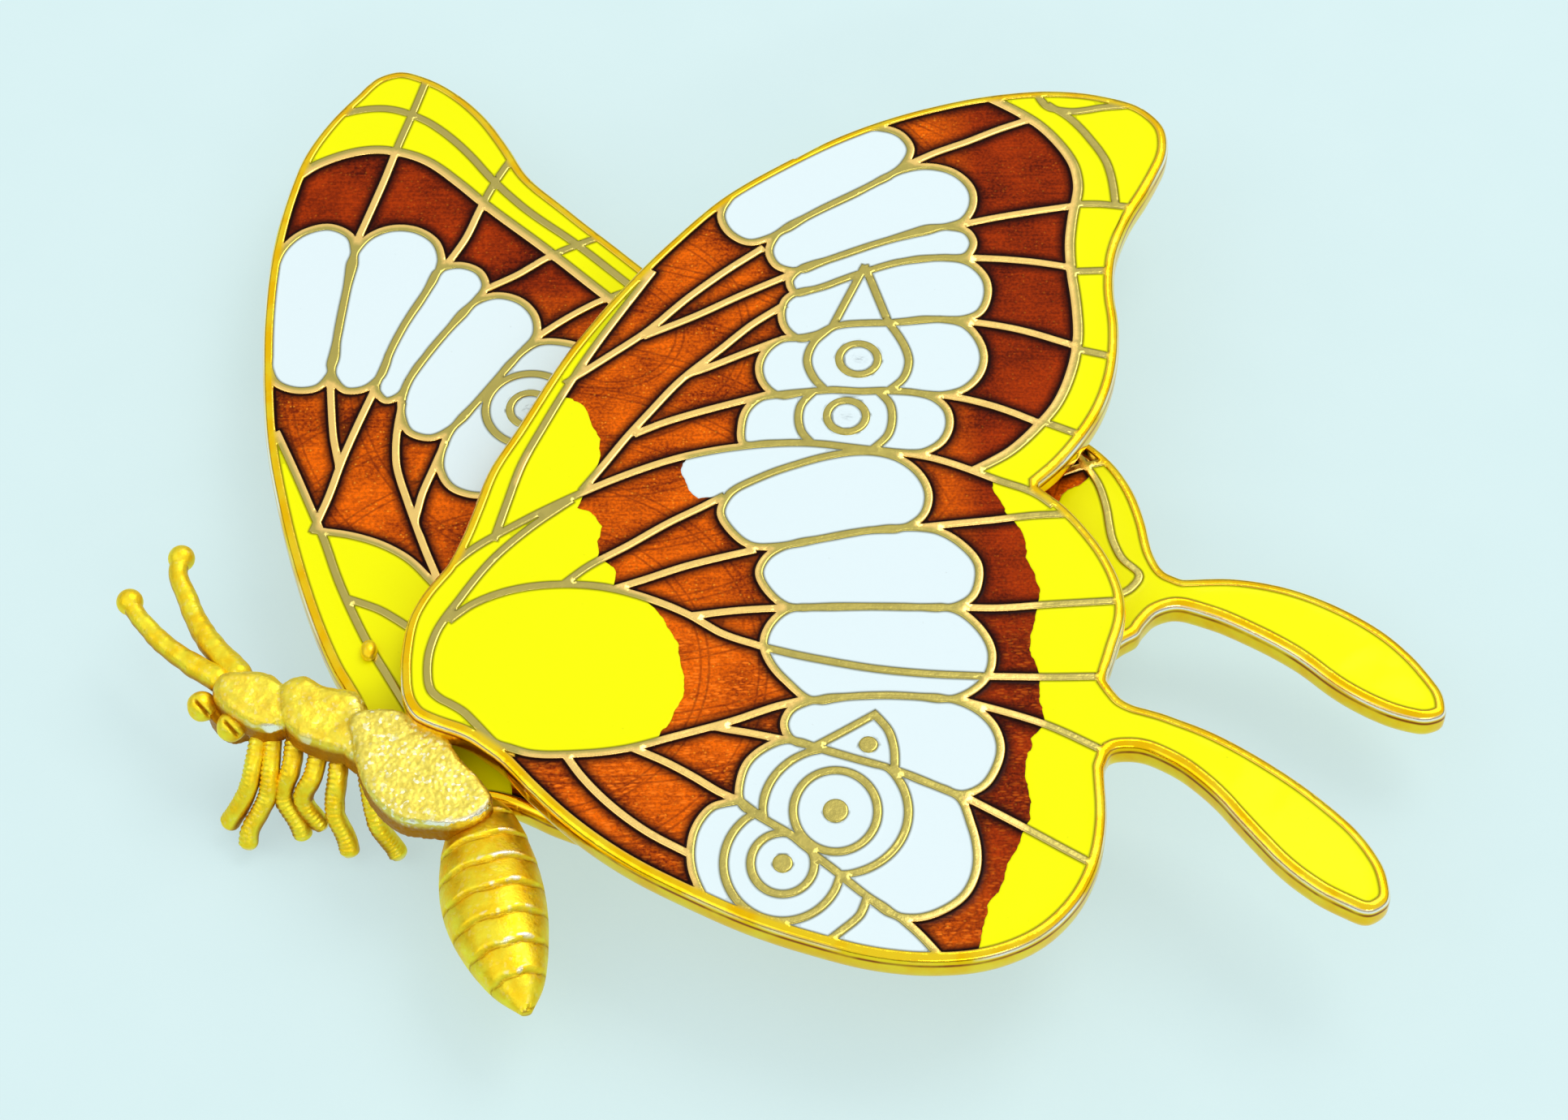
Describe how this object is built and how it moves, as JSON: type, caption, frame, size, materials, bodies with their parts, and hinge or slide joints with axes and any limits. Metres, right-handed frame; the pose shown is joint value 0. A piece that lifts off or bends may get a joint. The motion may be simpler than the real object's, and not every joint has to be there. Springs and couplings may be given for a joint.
{
  "type": "brooch",
  "caption": "Swallowtail butterfly brooch: two overlapping enamelled wing plates, a cast body with legs and antennae, and a hinged pin with a roll-over safety catch on the back.",
  "frame": {"origin": "centre of the bounding box on the plane the brooch lies on", "axes": "+X from the antennae towards the tails, +Y towards the forewing tips, +Z out of the enamelled front"},
  "size_m": [0.0719, 0.0634, 0.0086],
  "materials": {
    "gold_plate": "bright gold plating on struck metal",
    "gold_cast": "bright gold plating on a casting, partly stippled",
    "gold_findings": "bright gold plating",
    "pin_steel": "gold-plated spring steel, polished",
    "white_enamel": "opaque glossy enamel",
    "brown_enamel": "translucent glossy enamel over an engine-turned ground",
    "yellow_enamel": "opaque glossy enamel"
  },
  "bodies": {
    "brooch": {"front_wing_plate": "gold_plate", "rear_wing_plate": "gold_plate", "front_forewing_white_enamel": "white_enamel", "front_forewing_brown_enamel": "brown_enamel", "front_forewing_yellow_enamel": "yellow_enamel", "front_hindwing_white_enamel": "white_enamel", "front_hindwing_brown_enamel": "brown_enamel", "front_hindwing_yellow_enamel": "yellow_enamel", "rear_forewing_white_enamel": "white_enamel", "rear_forewing_brown_enamel": "brown_enamel", "rear_forewing_yellow_enamel": "yellow_enamel", "rear_hindwing_brown_enamel": "brown_enamel", "rear_hindwing_yellow_enamel": "yellow_enamel", "thorax_casting": "gold_cast", "eyes": "gold_cast", "antennae": "gold_cast", "front_legs": "gold_cast", "rear_legs": "gold_cast", "abdomen": "gold_cast", "spacer_posts": "gold_plate", "root_rivet": "gold_plate", "hinge_bracket": "gold_findings", "hinge_rivet": "gold_findings", "catch_base": "gold_findings"},
    "stem": {"pin_stem": "pin_steel"},
    "rotor": {"catch_rotor": "gold_findings"}
  },
  "joints": [
    {"name": "stem_hinge", "type": "hinge", "parent": "brooch", "child": "stem", "pos_m": [-0.02061, 0.00478, 0.0019], "axis": [0, 1, 0], "range_deg": [0, 95]},
    {"name": "catch_turn", "type": "hinge", "parent": "brooch", "child": "rotor", "pos_m": [0.01339, 0.00478, 0.0019], "axis": [1, 0, 0], "range_deg": [0, 100]}
  ]
}
